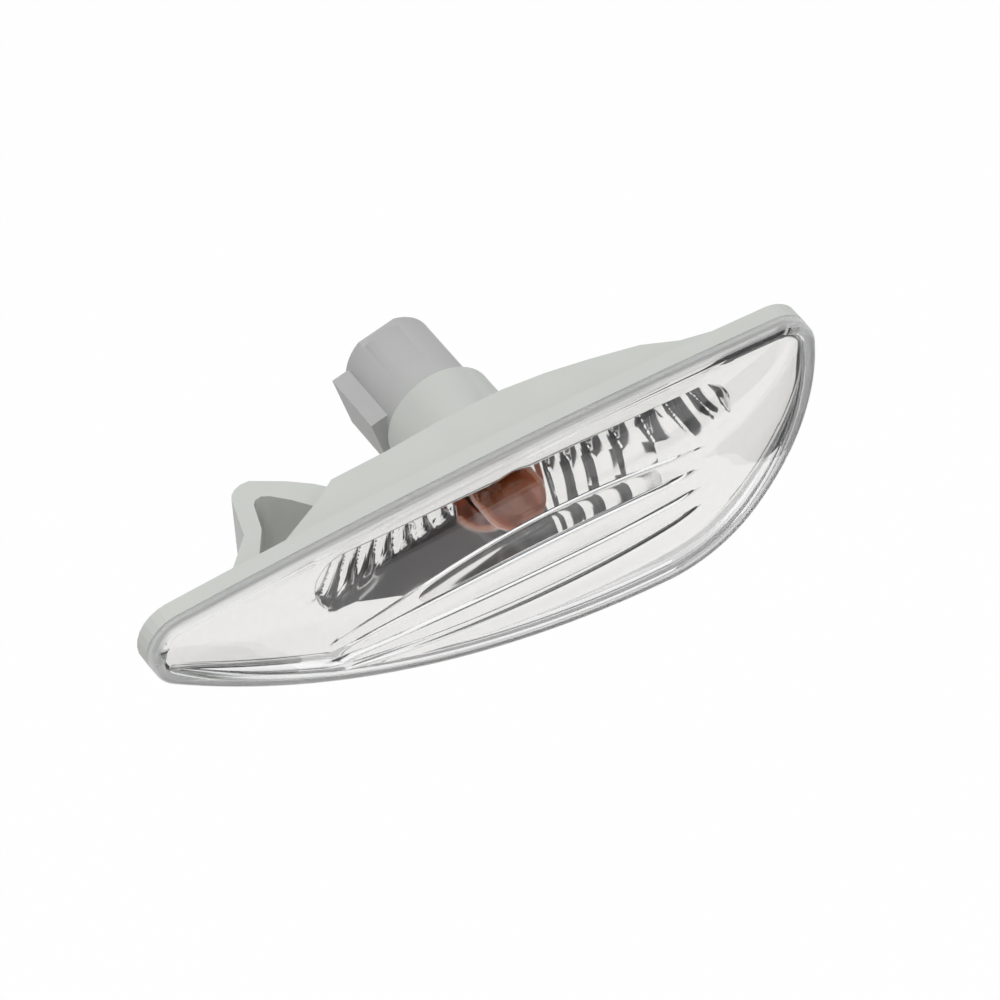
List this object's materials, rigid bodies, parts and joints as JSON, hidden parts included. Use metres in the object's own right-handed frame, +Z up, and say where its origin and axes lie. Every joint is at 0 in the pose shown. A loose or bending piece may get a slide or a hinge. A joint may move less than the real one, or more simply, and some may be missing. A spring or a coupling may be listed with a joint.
{
  "type": "side repeater lamp",
  "caption": "Leaf-shaped side repeater lamp: clear lens with inner prism bands, fluted reflector, amber capsule bulb, snap-in housing and bayonet bulb holder with plug socket.",
  "frame": {"origin": "centre of the rim's flat back face, which lies on the wing panel", "axes": "+X along the lamp toward its blunt end, +Y into the car through the panel, +Z up"},
  "size_m": [0.1164, 0.0457, 0.0424],
  "materials": {
    "housing_plastic": "moulded, satin",
    "lens_plastic": "polished clear",
    "reflector_metal": "vacuum metallised",
    "amber_glass": "coated amber",
    "filament_wire": "drawn wire",
    "lead_wire": "drawn wire",
    "holder_plastic": "moulded, satin",
    "seal_rubber": "matt",
    "contact_brass": "stamped strip"
  },
  "bodies": {
    "root": {"housing": "housing_plastic", "lens": "lens_plastic", "reflector": "reflector_metal", "bulb_glass": "amber_glass", "bulb_filament": "filament_wire", "bulb_lead_left": "lead_wire", "bulb_lead_right": "lead_wire", "bulb_holder": "holder_plastic", "holder_seal": "seal_rubber", "terminal_left": "contact_brass", "terminal_right": "contact_brass"}
  },
  "joints": []
}
